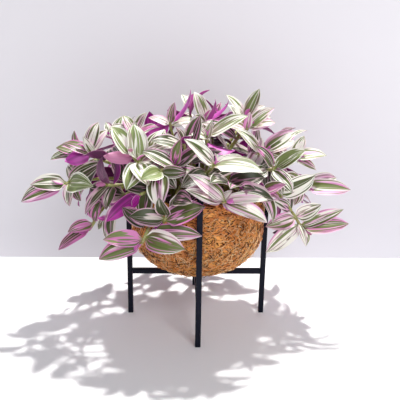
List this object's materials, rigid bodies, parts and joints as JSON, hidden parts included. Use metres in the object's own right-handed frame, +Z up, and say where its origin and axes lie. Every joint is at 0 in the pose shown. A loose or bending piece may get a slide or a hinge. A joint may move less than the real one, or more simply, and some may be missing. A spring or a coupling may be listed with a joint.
{
  "type": "potted tradescantia",
  "caption": "Bushy striped tradescantia in a round coir bowl carried by a four-legged black square-tube stand, for a shelf, table or floor.",
  "frame": {"origin": "middle of the box round the whole plant, on the surface that the feet stand on", "axes": "+Z up, -Y towards the side that the picture shows, +X to that view's right"},
  "size_m": [0.5538, 0.4244, 0.4029],
  "materials": {
    "black_steel": "satin black powder coat",
    "coir": "rough matted coconut fibre",
    "potting_soil": "rough dark potting soil",
    "foliage": "satin leaf, sage green with cream and pink stripes above, magenta beneath"
  },
  "bodies": {
    "root": {"coir_bowl": "coir", "crossbar_back_half": "black_steel", "crossbar_front_half": "black_steel", "crossbar_left_right": "black_steel", "leg_back": "black_steel", "leg_front": "black_steel", "leg_left": "black_steel", "leg_right": "black_steel", "shoot_front_left_mid": "foliage", "shoot_front_low": "foliage", "shoot_front_mid": "foliage", "shoot_front_mid_up": "foliage", "shoot_front_right": "foliage", "shoot_hidden_01": "foliage", "shoot_hidden_02": "foliage", "shoot_hidden_03": "foliage", "shoot_hidden_04": "foliage", "shoot_hidden_05": "foliage", "shoot_hidden_06": "foliage", "shoot_hidden_07": "foliage", "shoot_hidden_08": "foliage", "shoot_hidden_09": "foliage", "shoot_hidden_10": "foliage", "shoot_hidden_11": "foliage", "shoot_hidden_12": "foliage", "shoot_hidden_13": "foliage", "shoot_hidden_14": "foliage", "shoot_hidden_15": "foliage", "shoot_hidden_16": "foliage", "shoot_hidden_17": "foliage", "shoot_hidden_18": "foliage", "shoot_hidden_19": "foliage", "shoot_hidden_20": "foliage", "shoot_left_back": "foliage", "shoot_left_far": "foliage", "shoot_left_low": "foliage", "shoot_left_mid": "foliage", "shoot_left_up": "foliage", "shoot_mid_left": "foliage", "shoot_mid_left_low": "foliage", "shoot_pale": "foliage", "shoot_pale_left": "foliage", "shoot_right": "foliage", "shoot_right_dark": "foliage", "shoot_right_far_up": "foliage", "shoot_right_low": "foliage", "shoot_right_top": "foliage", "shoot_right_up": "foliage", "shoot_top_back_mid": "foliage", "shoot_top_left": "foliage", "shoot_top_left_back": "foliage", "shoot_top_mid": "foliage", "shoot_top_right": "foliage", "soil": "potting_soil"}
  },
  "joints": []
}
